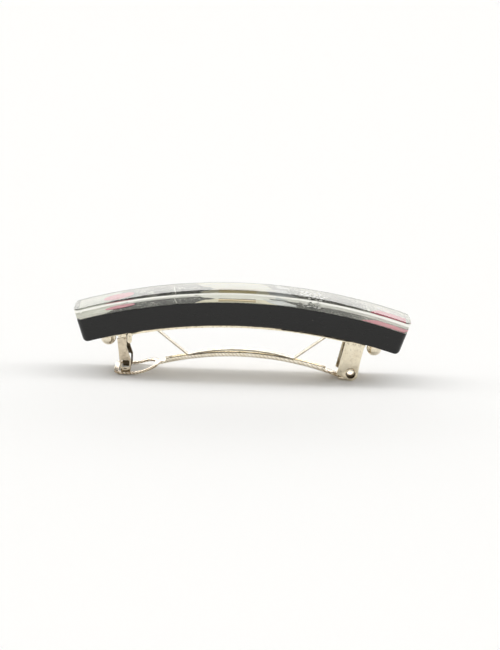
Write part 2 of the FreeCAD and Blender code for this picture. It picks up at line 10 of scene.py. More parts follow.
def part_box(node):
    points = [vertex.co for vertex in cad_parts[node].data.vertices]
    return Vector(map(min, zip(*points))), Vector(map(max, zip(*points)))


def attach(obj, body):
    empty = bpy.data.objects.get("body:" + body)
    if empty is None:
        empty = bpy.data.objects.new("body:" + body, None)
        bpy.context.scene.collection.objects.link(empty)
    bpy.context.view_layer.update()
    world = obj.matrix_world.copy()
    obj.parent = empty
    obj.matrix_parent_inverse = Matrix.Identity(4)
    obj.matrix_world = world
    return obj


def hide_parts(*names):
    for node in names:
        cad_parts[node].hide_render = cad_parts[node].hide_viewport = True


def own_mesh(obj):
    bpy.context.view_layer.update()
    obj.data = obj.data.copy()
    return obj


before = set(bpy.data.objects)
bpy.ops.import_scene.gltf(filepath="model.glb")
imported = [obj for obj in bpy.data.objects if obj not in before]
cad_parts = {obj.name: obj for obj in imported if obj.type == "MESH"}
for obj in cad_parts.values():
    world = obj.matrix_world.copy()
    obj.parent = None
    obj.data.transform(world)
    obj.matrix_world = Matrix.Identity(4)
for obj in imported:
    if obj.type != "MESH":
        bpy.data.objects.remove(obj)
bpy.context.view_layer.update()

MM = 0.001

# The bar's arch, as the frame has it; its centre of curvature is far below the floor
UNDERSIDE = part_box("base_plate")[1].z       # height of the bar's underside at its middle
RADIUS = 125.0 * MM                         # curvature of the underside
ARC_Z = UNDERSIDE - RADIUS
HALF_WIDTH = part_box("clear_cap")[1].y
HALF_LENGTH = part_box("clear_cap")[1].x      # at the top corners
BODY = 5.47 * MM                            # height of the seam above the underside
SHEET = 0.12 * MM
CLEAR = 2.5 * MM
CROWN = 0.4 * MM                            # extra thickness of the clear layer along its middle
END_LEAN = math.radians(17.8)
CORNER = 1.6 * MM
TOP_ROUND = 0.18 * MM
LOW_ROUND = 0.12 * MM                       # along the body's lower long edges
LOW_ROUND_END = 1.0 * MM                    # across the body's lower ends
LENGTH_STEPS = 96
CORNER_STEPS = 8
WIDTH_STEPS = 14
ROUND_STEPS = 5

# Marks, in millimetres
LIGHTER_FROM = 6.0                          # x at which the dark sheet starts to grow a little lighter
LIGHTER_TO = 15.0
SILVERED_FROM = 25.0                        # x at which it starts to turn silver
SCRATCH_X = -16.1
SCRATCH_WIDTH = 0.22
MARGIN_FROM = 2.9                           # y at which the sheet's far margin starts; it is painted white at shallow angles as a sheen
MARGIN_FULL = 3.5
MARGIN_WIDER = 1.6                          # how much nearer that margin starts towards the hinge end
STAIN_AND_SHADE_FROM = 7.0                            # height at which the brown stains, with painted shade under the bar, start to gather
WALL_INSIDE = 2.92                          # half the gap between the clip's side walls
HATCH_PITCH = 0.9                           # spacing of the slanting marks along the arm
RUN_SHARE = 0.4                             # strength of the marks between the arm's two ends
PIN_BORE = 0.95

# Foils and chips, in millimetres
FOIL_THICK = 0.06
FOIL_SUNK = 0.03                            # how far a foil's lower face is sunk
FOIL_ROWS = 10
FOIL_COLUMN = 0.2                           # length of one column of faces
CHIP_COUNT = 26
CHIP_MIDDLE = (16.2, -0.2)                  # middle of the field of chips
CHIP_FIELD = (3.1, 3.9)                     # half its length and half its width

# Tension spring: a bow between two knees, and straight struts up to the plate's slots
KNEE_X = 12.7 * MM
KNEE_ROUND = 0.5 * MM
BOW_RADIUS = 46.0 * MM
BOW_DEPTH = 7.2 * MM                        # from the bar's underside down to the top of the bow
LEAF_THICK = 0.32 * MM

# Stage
FLOOR_REACH = 6.0
FLOOR_STEPS = 24
PANEL_TOP = 0.44                            # height of the rear panel's upper edge, as a direction
PANEL_EDGE = 0.006                          # softness of that edge
STRIP_TILT = math.radians(11)               # lean of the overhead strip of light
FILL_COLOUR = (1.15, 1.13, 1.09)
STRIP_COLOUR = (3.2, 3.25, 3.35)
PANEL_COLOUR = (1.0, 1.0, 1.01)

# Camera, in the frame of the barrette
CAMERA_DISTANCE = 0.4
CAMERA_ELEVATION = math.radians(15.72)
CAMERA_ROLL = math.radians(1.89)
CAMERA_LEAN = math.radians(0.5)
CAMERA_LENS = 92.8
CAMERA_SHIFT = (0.0119, -0.0075)


def smooth(value, low, high):
    """0 below low, 1 above high, and an S-shaped step between."""
    t = min(1.0, max(0.0, (value - low) / (high - low)))
    return t * t * (3 - 2 * t)


def mix(a, b, share):
    return a + (b - a) * share


# ---- mesh helpers -------------------------------------------------------------------

def finish_piece(name, bm, material, body, replaced=(), sharp=35.0):
    """Turn a bmesh into a shaded piece that rides on a body and stands for CAD nodes."""
    bmesh.ops.recalc_face_normals(bm, faces=bm.faces)
    mesh = bpy.data.meshes.new(name)
    bm.to_mesh(mesh)
    bm.free()
    mesh.polygons.foreach_set("use_smooth", [True] * len(mesh.polygons))
    mesh.set_sharp_from_angle(angle=math.radians(sharp))
    mesh.materials.append(material)
    piece = bpy.data.objects.new(name, mesh)
    bpy.context.scene.collection.objects.link(piece)
    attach(piece, body)
    if replaced:
        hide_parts(*replaced)
    return piece


def end_angle(radius):
    """Angle from the middle of the bar to its leaning end face, at a distance from the arc's centre."""
    lean = math.tan(END_LEAN)
    top = RADIUS + BODY + CLEAR
    top_height = math.sqrt(top ** 2 - HALF_LENGTH ** 2)
    foot = HALF_LENGTH - top_height * lean
    root = math.sqrt((lean * foot) ** 2 - (1 + lean ** 2) * (foot ** 2 - radius ** 2))
    height = (root - lean * foot) / (1 + lean ** 2)
    return math.atan2(foot + height * lean, height)


SEAM_LENGTH = (RADIUS + BODY) * end_angle(RADIUS + BODY)


def on_arch(along, y, height):
    """Point of the bar: along is arc length at the seam, height is above the underside."""
    radius = RADIUS + height
    angle = along / SEAM_LENGTH * end_angle(radius)
    return Vector((radius * math.sin(angle), y, ARC_Z + radius * math.cos(angle)))


def arch_x(x, y, height):
    """Point of the bar above a plain x."""
    radius = RADIUS + height
    return Vector((x, y, ARC_Z + math.sqrt(radius ** 2 - x ** 2)))


def plan_outline(inset=0.0):
    """Rounded rectangle of the bar's plan: (along, y, outward along, outward y, share of end)."""
    a = SEAM_LENGTH - inset
    b = HALF_WIDTH - inset
    straight_a = SEAM_LENGTH - CORNER
    straight_b = HALF_WIDTH - CORNER
    points = []

    def long_side(sign):
        for i in range(LENGTH_STEPS + 1):
            points.append((sign * straight_a * (2 * i / LENGTH_STEPS - 1), -sign * b, 0, -sign, 0.0))

    def short_side(sign):
        for i in range(WIDTH_STEPS + 1):
            points.append((sign * a, sign * straight_b * (2 * i / WIDTH_STEPS - 1), sign, 0, 1.0))

    def corner(turn, start, end):
        for i in range(1, CORNER_STEPS):
            t = turn + math.pi / 2 * i / CORNER_STEPS
            out_a, out_b = math.sin(t), -math.cos(t)
            share = mix(start, end, i / CORNER_STEPS)
            points.append((math.copysign(straight_a, math.sin(turn + 0.7)) + out_a * (CORNER - inset),
                           math.copysign(straight_b, -math.cos(turn + 0.7)) + out_b * (CORNER - inset),
                           out_a, out_b, share))

    for half in range(2):
        sign = 1 - 2 * half
        long_side(sign)
        corner(half * math.pi, 0, 1)
        short_side(sign)
        corner(half * math.pi + math.pi / 2, 1, 0)
    return points


def ring(bm, inset, height):
    """Ring of vertices; inset and height are functions of (y, share of end)."""
    verts = []
    for along, y, out_a, out_b, share in plan_outline():
        step = inset(share)
        y_in = y - out_b * step
        verts.append(bm.verts.new(on_arch(along - out_a * step, y_in, height(y_in, share))))
    return verts


def bridge(bm, lower, upper):
    count = len(lower)
    for i in range(count):
        j = (i + 1) % count
        bm.faces.new((lower[i], lower[j], upper[j], upper[i]))


def close_ring(bm, verts, height):
    """Fill a ring with a grid whose inner points sit at height(y)."""
    corner = CORNER_STEPS - 1
    first_right = LENGTH_STEPS + 1 + corner
    near = verts[-corner - 1:] + verts[:first_right + 1]
    far_start = first_right + WIDTH_STEPS
    far = verts[far_start:far_start + len(near)][::-1]
    right = verts[first_right:far_start + 1]
    left = verts[-corner - 1 - WIDTH_STEPS:][:WIDTH_STEPS + 1][::-1]
    columns = [left]
    for low, high in zip(near[1:-1], far[1:-1]):
        column = [low]
        along = math.atan2(low.co.x, low.co.z - ARC_Z)
        for i in range(1, WIDTH_STEPS):
            y = mix(low.co.y, high.co.y, i / WIDTH_STEPS)
            radius = RADIUS + height(y)
            column.append(bm.verts.new((radius * math.sin(along), y, ARC_Z + radius * math.cos(along))))
        columns.append(column + [high])
    columns.append(right)
    for this, following in zip(columns, columns[1:]):
        for i in range(WIDTH_STEPS):
            bm.faces.new((this[i], following[i], following[i + 1], this[i + 1]))


def quarter(steps):
    """Angles from 0 to a right angle."""
    return [math.pi / 2 * i / steps for i in range(steps + 1)]


# ---- shader helpers -----------------------------------------------------------------

class Shader:
    """Short ways to add and join the nodes of a material or a world."""

    def __init__(self, owner):
        owner.use_nodes = True
        self.tree = owner.node_tree
        self.tree.nodes.clear()

    def add(self, kind, inputs=None, **settings):
        node = self.tree.nodes.new(kind)
        for key, value in settings.items():
            setattr(node, key, value)
        for key, value in (inputs or {}).items():
            self.set(node.inputs[key], value)
        return node

    def set(self, socket, value):
        if isinstance(value, bpy.types.NodeSocket):
            self.tree.links.new(value, socket)
        else:
            socket.default_value = value

    def math(self, operation, *values, clamp=False):
        node = self.add("ShaderNodeMath", operation=operation, use_clamp=clamp)
        for socket, value in zip(node.inputs, values):
            self.set(socket, value)
        return node.outputs[0]

    def step(self, value, low, high, start=0.0, end=1.0):
        """Smooth step of a value between low and high."""
        node = self.add("ShaderNodeMapRange", interpolation_type="SMOOTHSTEP",
                        inputs={0: value, 1: low, 2: high, 3: start, 4: end})
        return node.outputs[0]

    def ramp(self, value, *stops):
        """Colour ramp; each stop is (place, colour)."""
        node = self.add("ShaderNodeValToRGB", inputs={0: value})
        elements = node.color_ramp.elements
        while len(elements) < len(stops):
            elements.new(0.5)
        for element, (place, colour) in zip(elements, stops):
            element.position = place
            element.color = (*colour, 1.0)
        return node.outputs[0]

    def blend(self, share, a, b):
        node = self.add("ShaderNodeMix", data_type="RGBA")
        self.set(node.inputs[0], share)
        self.set(node.inputs[6], a if isinstance(a, bpy.types.NodeSocket) else (*a, 1.0))
        self.set(node.inputs[7], b if isinstance(b, bpy.types.NodeSocket) else (*b, 1.0))
        return node.outputs[2]

    def place(self, scale=(1, 1, 1)):
        """Object coordinates in millimetres, stretched by scale."""
        coordinates = self.add("ShaderNodeTexCoord").outputs["Object"]
        return self.add("ShaderNodeMapping", inputs={"Vector": coordinates,
                                                     "Scale": tuple(1000 * s for s in scale)}).outputs[0]

    def axes(self):
        """The three object coordinates in millimetres."""
        return self.add("ShaderNodeSeparateXYZ", inputs={0: self.place()}).outputs

    def band(self, value, low, high, soft=0.08):
        """1 between low and high, with soft edges, and 0 outside."""
        return self.math("MULTIPLY", self.step(value, low - soft, low + soft),
                         self.step(value, high + soft, high - soft))

    def painted_sheen_share(self):
        """0 where a surface is seen steeply and 1 where it is seen at a shallow angle: the share of painted
        sheen in a colour.
        """
        facing = self.add("ShaderNodeLayerWeight", inputs={"Blend": 0.5}).outputs["Facing"]
        return self.step(facing, 0.35, 0.7)

    def rare_dots(self, vector, size, radius, share):
        """Small dots, about size millimetres apart, in only a share of the cells."""
        cells = self.cells(vector, size)
        dot = self.math("LESS_THAN", cells.outputs["Distance"], radius)
        chance = self.add("ShaderNodeSeparateColor", inputs={0: cells.outputs["Color"]}).outputs[0]
        return self.math("MULTIPLY", dot, self.math("LESS_THAN", chance, share))

    def noise(self, vector, size, detail=3.0, roughness=0.5):
        """Noise whose features are about size millimetres across."""
        node = self.add("ShaderNodeTexNoise", inputs={"Vector": vector, "Scale": 1 / size,
                                                      "Detail": detail, "Roughness": roughness})
        return node.outputs[0]

    def cells(self, vector, size, feature="F1"):
        """Cells about size millimetres across: the node itself, for its several outputs."""
        return self.add("ShaderNodeTexVoronoi", feature=feature,
                        inputs={"Vector": vector, "Scale": 1 / size})

    def bump(self, height, depth, base=None):
        """Bump of a height field, depth in millimetres."""
        node = self.add("ShaderNodeBump", inputs={"Height": height, "Strength": 1.0,
                                                  "Distance": depth * MM})
        if base is not None:
            self.set(node.inputs["Normal"], base)
        return node.outputs[0]

    def principled(self, **inputs):
        names = {key.replace("_", " "): value for key, value in inputs.items()}
        shader = self.add("ShaderNodeBsdfPrincipled", inputs=names)
        self.output(shader.outputs[0])
        return shader

    def output(self, surface, kind="ShaderNodeOutputMaterial"):
        node = self.add(kind)
        self.tree.links.new(surface, node.inputs["Surface"])


def black_acetate():
    """Polished black plastic with faint scuffs and dust."""
    material = bpy.data.materials.new("black_acetate_polished")
    s = Shader(material)
    place = s.place()
    scuffs = s.noise(s.place((0.25, 1, 1.6)), 0.5, 6, 0.62)
    cloud = s.noise(place, 6.0, 2)
    colour = s.blend(cloud, (0.0012, 0.0012, 0.0011), (0.0035, 0.0034, 0.003))
    colour = s.blend(s.rare_dots(place, 1.1, 0.055, 0.1), colour, (0.25, 0.24, 0.2))
    rough = s.math("ADD", s.math("MULTIPLY", scuffs, 0.22), 0.14)
    s.principled(Base_Color=colour, Roughness=rough, IOR=1.49, Specular_IOR_Level=0.45,
                 Normal=s.bump(s.noise(place, 0.35, 5, 0.6), 0.004))
    return material


def clear_resin():
    """Clear, faintly warm resin with a slightly uneven polish."""
    material = bpy.data.materials.new("clear_resin_polished")
    s = Shader(material)
    wave = s.noise(s.place(), 3.0, 1)
    glass = s.add("ShaderNodeBsdfGlass", inputs={"Color": (0.985, 0.983, 0.955, 1), "IOR": 1.55,
                                                 "Roughness": 0.004, "Normal": s.bump(wave, 0.004)})
    s.output(glass.outputs[0])
    return material


def flaked_sheet():
    """Dark silver sheet with fine flakes, lighter towards the hinge end.

    It has one hairline scratch, and a far margin painted white at shallow angles only: a painted sheen.
    """
    material = bpy.data.materials.new("dark_sheet_flaked")
    s = Shader(material)
    x, y, z = s.axes()
    grain = s.noise(s.place((1, 0.5, 1)), 0.26, 4, 0.75)
    flakes = s.cells(s.place((1, 0.5, 1)), 0.32)
    tone = s.add("ShaderNodeSeparateColor", inputs={0: flakes.outputs["Color"]}).outputs[0]
    patches = s.noise(s.place((0.35, 0.8, 1)), 2.0, 3)
    light = s.math("MULTIPLY", s.step(grain, 0.38, 0.64), s.step(tone, 0.0, 1.0, 0.25, 1.0))
    light = s.math("MULTIPLY", light, s.step(patches, 0.3, 0.7, 0.5, 1.3))
    light = s.math("ADD", light, s.step(x, LIGHTER_FROM, LIGHTER_TO, 0.0, 0.13))
    light = s.math("ADD", light, s.step(x, SILVERED_FROM, SILVERED_FROM + 6, 0.0, 0.35))
    across = s.math("ADD", x, s.math("MULTIPLY", y, 0.12))
    scratch = s.math("MULTIPLY", s.band(across, SCRATCH_X, SCRATCH_X + SCRATCH_WIDTH, 0.05),
                     s.band(y, -3.6, 3.2, 0.3))
    light = s.math("MAXIMUM", light, scratch)
    colour = s.ramp(light, (0.0, (0.018, 0.020, 0.017)), (0.3, (0.075, 0.080, 0.070)),
                    (0.62, (0.23, 0.235, 0.21)), (1.0, (0.68, 0.68, 0.62)))
    margin = s.math("ADD", y, s.step(x, 2.0, 14.0, 0.0, MARGIN_WIDER))
    # painted sheen: the far margin turns white only where the sheet is seen at a shallow angle
    pale = s.math("MULTIPLY", s.step(margin, MARGIN_FROM, MARGIN_FULL), s.painted_sheen_share())
    colour = s.blend(pale, colour, (0.90, 0.91, 0.86))
    s.principled(Base_Color=colour, Metallic=0.1, Roughness=0.6, Specular_IOR_Level=0.25,
                 Normal=s.bump(grain, 0.02))
    return material


def foil(name, light, dark, steep, metallic=0.1, streak=1.0, far=None):
    """Pearly foil: soft streaks between two tones, and a fine crinkle.

    It shows its own tones at shallow angles and mostly the steep colour from above: a painted
    sheen. far is the tone of the foil's far side, where that differs.
    """
    material = bpy.data.materials.new(name)
    s = Shader(material)
    cloud = s.noise(s.place((0.35 * streak, 1, 1)), 1.4, 4, 0.6)
    crinkle = s.noise(s.place(), 0.18, 3, 0.6)
    colour = s.blend(s.step(cloud, 0.35, 0.7), light, dark)
    if far:
        colour = s.blend(s.step(s.axes()[1], -0.6, 0.6), colour, far)
    # painted sheen: the foil's own tones at shallow angles, the darker steep colour from above
    colour = s.blend(s.painted_sheen_share(), s.blend(0.2, steep, colour), colour)
    s.principled(Base_Color=colour, Metallic=metallic, Roughness=0.42, Specular_IOR_Level=0.12,
                 Normal=s.bump(crinkle, 0.012))
    return material


def plaque_foil():
    """Gold foil: a lighter streak along its middle, a brown far edge, and a painted sheen that makes it
    duller from above.
    """
    material = bpy.data.materials.new("gold_foil_satin")
    s = Shader(material)
    y = s.axes()[1]
    low, high = (corner.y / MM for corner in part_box("inlay_gold_plaque"))
    wear = s.noise(s.place((0.5, 1, 1)), 0.5, 3)
    streak = s.band(y, mix(low, high, 0.35), mix(low, high, 0.7), 0.15)
    edge = s.step(y, high - 1.1, high - 0.95)
    colour = s.blend(wear, (0.50, 0.36, 0.10), (0.36, 0.25, 0.06))
    colour = s.blend(streak, colour, (0.90, 0.74, 0.40))
    colour = s.blend(edge, colour, (0.17, 0.10, 0.05))
    # painted sheen: duller and browner where the plaque is seen from above
    colour = s.blend(s.painted_sheen_share(), s.blend(0.3, (0.28, 0.25, 0.13), colour), colour)
    s.principled(Base_Color=colour, Metallic=0.1, Roughness=0.42, Specular_IOR_Level=0.12,
                 Normal=s.bump(wear, 0.02))
    return material


def metal(name, bright, dull, stain_and_shade, inside=0.0, hatch=0.0, bore=None):
    """Plated metal: drawing lines, small pits, and brown spots that gather under the bar:
    real stains and painted shade together.

    inside is the share of painted shade, in dark brown, on the inner faces of the clip's side walls,
    hatch the depth of tone of the slanting marks along an arm's edges, and bore the x, z and radius
    in millimetres of a tube whose near half is painted dark inside, as shade.
    """
    material = bpy.data.materials.new(name)
    s = Shader(material)
    brown = (0.17, 0.105, 0.05)
    place = s.place()
    x, y, z = s.axes()
    lines = s.noise(s.place((0.12, 1, 1)), 0.12, 4, 0.65)
    cloud = s.noise(place, 1.5, 4, 0.6)
    spots = s.noise(place, 0.45, 4, 0.7)
    colour = s.blend(s.step(cloud, 0.4, 0.72), bright, dull)
    # brown spots thicken towards the bar's underside: real stains and painted shade together
    high = s.step(z, STAIN_AND_SHADE_FROM, STAIN_AND_SHADE_FROM + 2.0, stain_and_shade, 2.0 * stain_and_shade)
    colour = s.blend(s.math("MULTIPLY", s.step(spots, 0.52, 0.68), high), colour, brown)
    colour = s.blend(s.rare_dots(place, 0.7, 0.06, 0.15), colour, brown)
    across = s.math("ABSOLUTE", y)
    normal = s.bump(lines, 0.003, s.bump(cloud, 0.025))
    if inside:
        # painted shade: the inner faces of the side walls, low down, are painted dark brown
        wall = s.math("MULTIPLY", s.step(across, WALL_INSIDE + 0.05, WALL_INSIDE), s.step(z, 9.5, 9.0))
        colour = s.blend(s.math("MULTIPLY", wall, inside), colour, (0.075, 0.05, 0.028))
    if hatch:
        slant = s.math("ADD", s.math("ADD", x, y), z)
        wave = s.math("SINE", s.math("MULTIPLY", slant, 2 * math.pi / HATCH_PITCH))
        low, high = (corner.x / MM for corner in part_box("arm"))
        ends = s.math("MAXIMUM", s.step(x, low + 12.0, low + 10.0), s.step(x, high - 9.0, high - 7.0))
        marks = s.math("MULTIPLY", s.step(wave, -0.1, 0.7),
                       s.math("MAXIMUM", s.step(across, 1.0, 1.1), ends))
        marks = s.math("MULTIPLY", marks, s.step(x, high - 4.6, high - 5.2))
        colour = s.blend(s.math("MULTIPLY", ends, 0.3), colour, (0.50, 0.38, 0.24))
        depth = s.math("MULTIPLY", marks, s.math("ADD", s.math("MULTIPLY", ends, 1 - RUN_SHARE), RUN_SHARE))
        colour = s.blend(s.math("MULTIPLY", depth, hatch), colour, (0.36, 0.24, 0.13))
        normal = s.bump(depth, 0.03, normal)
    if bore:
        centre_x, centre_z, radius = bore
        from_x = s.math("SUBTRACT", x, centre_x)
        from_z = s.math("SUBTRACT", z, centre_z)
        distance = s.math("SQRT", s.math("ADD", s.math("MULTIPLY", from_x, from_x),
                                         s.math("MULTIPLY", from_z, from_z)))
        # painted shade: inside the bore, the near half is painted nearly black
        dark = s.math("MULTIPLY", s.step(distance, radius + 0.1, radius + 0.04), s.step(y, 0.2, -1.6))
        colour = s.blend(dark, colour, (0.035, 0.025, 0.015))
    rough = s.math("ADD", s.math("MULTIPLY", lines, 0.14), 0.13)
    s.principled(Base_Color=colour, Metallic=1.0, Roughness=rough, Normal=normal)
    return material


# ---- the bar ------------------------------------------------------------------------

def crown_height(y):
    """Top of the clear layer above the underside."""
    return BODY + CLEAR + CROWN * (1 - (y / HALF_WIDTH) ** 2)


def body_piece(material):
    bm = bmesh.new()

    def round_of(share):
        return mix(LOW_ROUND, LOW_ROUND_END, smooth(share, 0, 1))

    rings = [ring(bm, lambda share, t=t: round_of(share) * (1 - math.cos(t)),
                  lambda y, share, t=t: round_of(share) * (1 - math.sin(t)))
             for t in reversed(quarter(ROUND_STEPS))]
    rings.append(ring(bm, lambda share: 0.0, lambda y, share: BODY))
    close_ring(bm, rings[0], lambda y: 0.0)
    for lower, upper in zip(rings, rings[1:]):
        bridge(bm, lower, upper)
    close_ring(bm, rings[-1], lambda y: BODY)
    return finish_piece("bar_body_black", bm, material, "root", ["bar_body"])


def slab_piece(name, low, high, inset, material, replaced):
    """Thin arched slab over the whole bar."""
    bm = bmesh.new()
    lower = ring(bm, lambda share: inset, lambda y, share: low)
    upper = ring(bm, lambda share: inset, lambda y, share: high)
    close_ring(bm, lower, lambda y: low)
    bridge(bm, lower, upper)
    close_ring(bm, upper, lambda y: high)
    return finish_piece(name, bm, material, "root", replaced)


def cap_piece(material):
    """Clear layer; its lower face is sunk into the sheet, so that the two are bonded."""
    bm = bmesh.new()
    bottom = BODY + SHEET / 2
    rings = [ring(bm, lambda share: 0.0, lambda y, share: bottom)]
    for t in quarter(ROUND_STEPS + 2):
        rings.append(ring(bm, lambda share, t=t: TOP_ROUND * (1 - math.cos(t)),
                          lambda y, share, t=t: crown_height(y) - TOP_ROUND * (1 - math.sin(t))))
    close_ring(bm, rings[0], lambda y: bottom)
    for lower, upper in zip(rings, rings[1:]):
        bridge(bm, lower, upper)
    close_ring(bm, rings[-1], crown_height)
    return finish_piece("clear_cap_resin", bm, material, "root", ["clear_cap"], 60)


def wavy(x, seed):
    """A small uneven offset for cut edges, in millimetres."""
    return 0.14 * noise.noise(Vector((x * 1.7, seed, 0)))


def foil_piece(name, regions, level, material, replaced):
    """Foil on the sheet, in one or more regions, with level foils under it.

    Each region is (start, end, low, high), with edges low(x) and high(x) in millimetres.
    """
    base = (BODY + SHEET) / MM + level * FOIL_THICK
    edge = HALF_WIDTH / MM - 0.05
    bm = bmesh.new()
    for start, end, low, high in regions:
        columns = max(12, int((end - start) / FOIL_COLUMN))
        layers = []
        for height in (base - FOIL_SUNK, base + FOIL_THICK):
            grid = []
            for i in range(columns + 1):
                x = mix(start, end, i / columns)
                near = min(edge - 0.1, max(-edge, low(x)))
                far = min(edge, max(high(x), near + 0.06))
                across = [mix(near, far, j / FOIL_ROWS) for j in range(FOIL_ROWS + 1)]
                grid.append([bm.verts.new(arch_x(x * MM, y * MM, height * MM)) for y in across])
            layers.append(grid)
        close_slab(bm, *layers)
    return finish_piece(name, bm, material, "root", replaced)


def close_slab(bm, below, above):
    """Faces of a slab between two grids of vertices."""
    rows = len(below[0]) - 1
    for grid in (below, above):
        for this, following in zip(grid, grid[1:]):
            for j in range(rows):
                bm.faces.new((this[j], following[j], following[j + 1], this[j + 1]))
    borders = (([line[0] for line in below], [line[0] for line in above]),
               ([line[-1] for line in below], [line[-1] for line in above]),
               (below[0], above[0]), (below[-1], above[-1]))
    for lower, upper in borders:
        for j in range(len(lower) - 1):
            bm.faces.new((lower[j], lower[j + 1], upper[j + 1], upper[j]))


def leaf(start, end, y_start, y_end, half, blunt=0.5):
    """Low and high edges of a leaf shape whose middle line runs between two points."""
    def middle(x):
        return mix(y_start, y_end, (x - start) / (end - start))

    def spread(x):
        t = min(1.0, max(0.0, (x - start) / (end - start)))
        return half * (4 * t * (1 - t)) ** blunt

    return (lambda x: middle(x) - spread(x)), (lambda x: middle(x) + spread(x))


def cream_near(x):
    """Far edge of the cream foil's near tongue; beyond its tip the two tongues meet."""
    return -4.9 + 3.6 * smooth(x, -11.8, -8.8) + 1.4 * smooth(x, -8.8, -5.6)


def cream_far(x):
    """Near edge of the cream foil's far tongue."""
    return 4.9 - 3.4 * smooth(x, -11.6, -9.0) - 1.95 * smooth(x, -9.0, -5.6)


def cream_to_silver(x):
    """Slanting seam between the cream foil and the silver one."""
    return 3.4 - 8.0 * smooth(x, 2.9, 8.0) + wavy(x, 4)


def glitter_piece(material):
    """Small six-sided chips, tilted at random, floating just above the sheet."""
    chance = random.Random(7)
    bm = bmesh.new()
    golden_turn = math.pi * (3 - math.sqrt(5))
    for index in range(CHIP_COUNT):
        spread = math.sqrt((index + 0.5) / CHIP_COUNT)
        turn = index * golden_turn
        x = (CHIP_MIDDLE[0] + CHIP_FIELD[0] * spread * math.cos(turn)) * MM
        y = (CHIP_MIDDLE[1] + CHIP_FIELD[1] * spread * math.sin(turn)) * MM
        lift = BODY + SHEET + chance.uniform(0.12, 0.55) * MM
        size = chance.uniform(0.26, 0.52) * MM
        tilt_x = Matrix.Rotation(chance.uniform(-0.5, 0.5), 3, "X")
        tilt_y = Matrix.Rotation(chance.uniform(-0.4, 0.4), 3, "Y")
        tilt = tilt_x @ tilt_y
        centre = arch_x(x, y, lift)
        rims = []
        for side in (-0.02, 0.02):
            turns = [k * math.pi / 3 for k in range(6)]
            corners = [Vector((size * math.cos(t), size * math.sin(t), side * MM)) for t in turns]
            rims.append([bm.verts.new(centre + tilt @ corner) for corner in corners])
        bm.faces.new(rims[0])
        bm.faces.new(rims[1])
        bridge(bm, rims[0], rims[1])
    return finish_piece("inlay_glitter", bm, material, "root", ["inlay_glitter_chips"])


def bar_pieces():
    body_piece(black_acetate())
    slab_piece("inlay_sheet_flaked", BODY - 0.02 * MM, BODY + SHEET, 0.02 * MM, flaked_sheet(),
               ["inlay_sheet"])
    pale = foil("pale_foil_pearl", (0.80, 0.815, 0.73), (0.54, 0.56, 0.47), (0.34, 0.35, 0.31))
    pink = foil("pink_foil_satin", (0.80, 0.26, 0.34), (0.66, 0.17, 0.25), (0.42, 0.05, 0.10))
    cream = foil("cream_foil_pearl", (0.90, 0.86, 0.66), (0.76, 0.70, 0.50), (0.36, 0.35, 0.27),
                 far=(0.93, 0.95, 0.87))
    silver = foil("silver_foil_brushed", (0.80, 0.83, 0.84), (0.26, 0.29, 0.31), (0.24, 0.25, 0.26), 0.3, 0.6)
    bright = foil("glitter_bright", (0.97, 0.97, 0.95), (0.85, 0.86, 0.86), (0.7, 0.7, 0.68), 0.2)
    side = HALF_WIDTH / MM
    end = HALF_LENGTH / MM - 1.6
    plaque_low, plaque_high = (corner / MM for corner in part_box("inlay_gold_plaque"))
    foil_piece("inlay_pale_foil_pearl",
               [(-end, -27.4, lambda x: -side + 2 * side * smooth(x, -33.0, -27.4) + wavy(x, 1),
                 lambda x: side)], 0, pale, ["inlay_pale_foil"])
    foil_piece("inlay_pink_foil_left_satin", [(-32.6, -25.6, *leaf(-32.6, -25.6, 0.5, 1.1, 2.0))],
               1, pink, ["inlay_pink_foil_left"])
    foil_piece("inlay_pink_foil_right_satin",
               [(28.2, end, lambda x: -side, lambda x: -side + 5.4 * smooth(x, 26.8, 32.5) + wavy(x, 3))],
               0, pink, ["inlay_pink_foil_right"])
    foil_piece("inlay_cream_foil_pearl",
               [(-11.2, 7.9, lambda x: -side, lambda x: min(cream_near(x), cream_to_silver(x) - 0.1)),
                (-11.6, 7.6, cream_far, lambda x: max(cream_far(x), side - 4.6 * smooth(x, 3.0, 7.6) ** 2))],
               0, cream, ["inlay_cream_foil"])
    foil_piece("inlay_silver_foil_brushed",
               [(3.3, 12.6, cream_to_silver, lambda x: 1.3 - 3.4 * smooth(x, 9.0, 12.6) + wavy(x, 5)),
                (7.7, 10.6, lambda x: 2.3 + wavy(x, 6), lambda x: side - 1.6 * smooth(x, 7.9, 10.6))],
               0, silver, ["inlay_silver_foil"])
    foil_piece("inlay_gold_plaque_satin",
               [(plaque_low.x, plaque_high.x, lambda x: plaque_low.y, lambda x: plaque_high.y)],
               1, plaque_foil(), ["inlay_gold_plaque"])
    glitter_piece(bright)
    cap_piece(clear_resin())


# ---- the clip -----------------------------------------------------------------------

def sweep(bm, path, section):
    """Run a closed section of (across, up) offsets along an open path in the XZ plane."""
    rings = []
    for i, point in enumerate(path):
        before = path[max(0, i - 1)]
        after = path[min(len(path) - 1, i + 1)]
        along = (after - before).normalized()
        across = Vector((0, 1, 0))
        up = along.cross(across)
        rings.append([bm.verts.new(point + across * a + up * b) for a, b in section])
    for this, following in zip(rings, rings[1:]):
        bridge(bm, this, following)
    bm.faces.new(rings[0])
    bm.faces.new(rings[-1][::-1])


def strip_section(half_width, thick):
    """Flat strip section with rounded edges."""
    half = thick / 2
    points = []
    for side in (1, -1):
        for i in range(7):
            t = side * (math.pi / 2 - math.pi * i / 6)
            points.append((side * (half_width - half) + half * math.cos(t) * side,
                           half * math.sin(t) * side))
    return points


def polyline_round(points, radius, steps=6):
    """Round the inner corners of a path in the XZ plane."""
    out = [points[0]]
    for before, corner, after in zip(points, points[1:], points[2:]):
        one = (before - corner).normalized()
        two = (after - corner).normalized()
        start = corner + one * radius
        end = corner + two * radius
        for i in range(steps + 1):
            t = i / steps
            out.append(start * (1 - t) ** 2 + corner * 2 * t * (1 - t) + end * t ** 2)
    out.append(points[-1])
    return out


